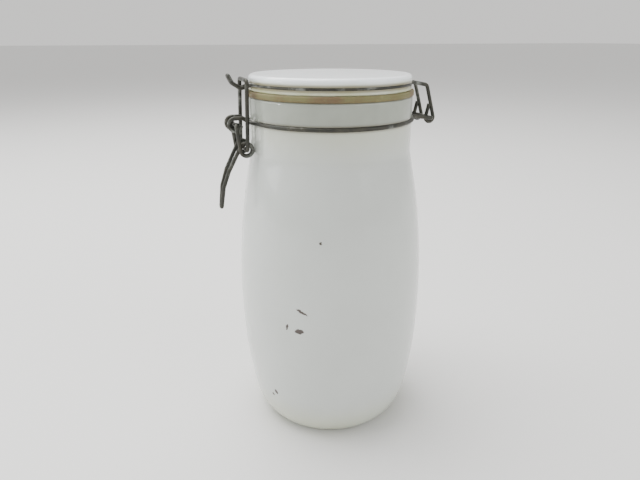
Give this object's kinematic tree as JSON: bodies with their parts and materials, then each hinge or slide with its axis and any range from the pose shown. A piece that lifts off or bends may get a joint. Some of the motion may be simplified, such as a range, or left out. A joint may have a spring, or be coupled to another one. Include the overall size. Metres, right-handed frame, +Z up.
{
  "type": "clip-top storage jar",
  "caption": "Tall opal glass jar with a round glass lid, a rubber ring, a wire hinge and a bent-wire over-centre clip.",
  "frame": {"origin": "middle of the foot, on the surface that the jar stands on", "axes": "+Z up along the jar's axis, -Y towards the clip, +Y towards the wire hinge, hinge and lever axes along X"},
  "size_m": [0.12, 0.1394, 0.2277],
  "materials": {
    "opal_glass": "glossy opal white glass",
    "rubber_ring": "aged olive yellow rubber",
    "steel_wire": "dulled dark steel wire"
  },
  "bodies": {
    "jar": {"glass_jar": "opal_glass", "neck_wire_left": "steel_wire", "neck_wire_right": "steel_wire"},
    "lid": {"glass_lid": "opal_glass", "rubber_ring": "rubber_ring", "lid_wire_left": "steel_wire", "lid_wire_right": "steel_wire"},
    "lever": {"lever_wire": "steel_wire"},
    "link": {"link_wire": "steel_wire"}
  },
  "joints": [
    {"name": "lid_hinge", "type": "hinge", "parent": "jar", "child": "lid", "pos_m": [0, 0.0646, 0.1988], "axis": [-1, 0, 0], "range_deg": [0, 225]},
    {"name": "lever_swing", "type": "hinge", "parent": "jar", "child": "lever", "pos_m": [0, -0.0592, 0.2], "axis": [-1, 0, 0], "range_deg": [0, 110]},
    {"name": "link_swing", "type": "hinge", "parent": "lever", "child": "link", "pos_m": [0, -0.0539, 0.1857], "axis": [-1, 0, 0], "range_deg": [-75, 0]}
  ],
  "couplings": [
    {"joint": "link_swing", "follows": "lever_swing", "ratio": -0.68}
  ]
}
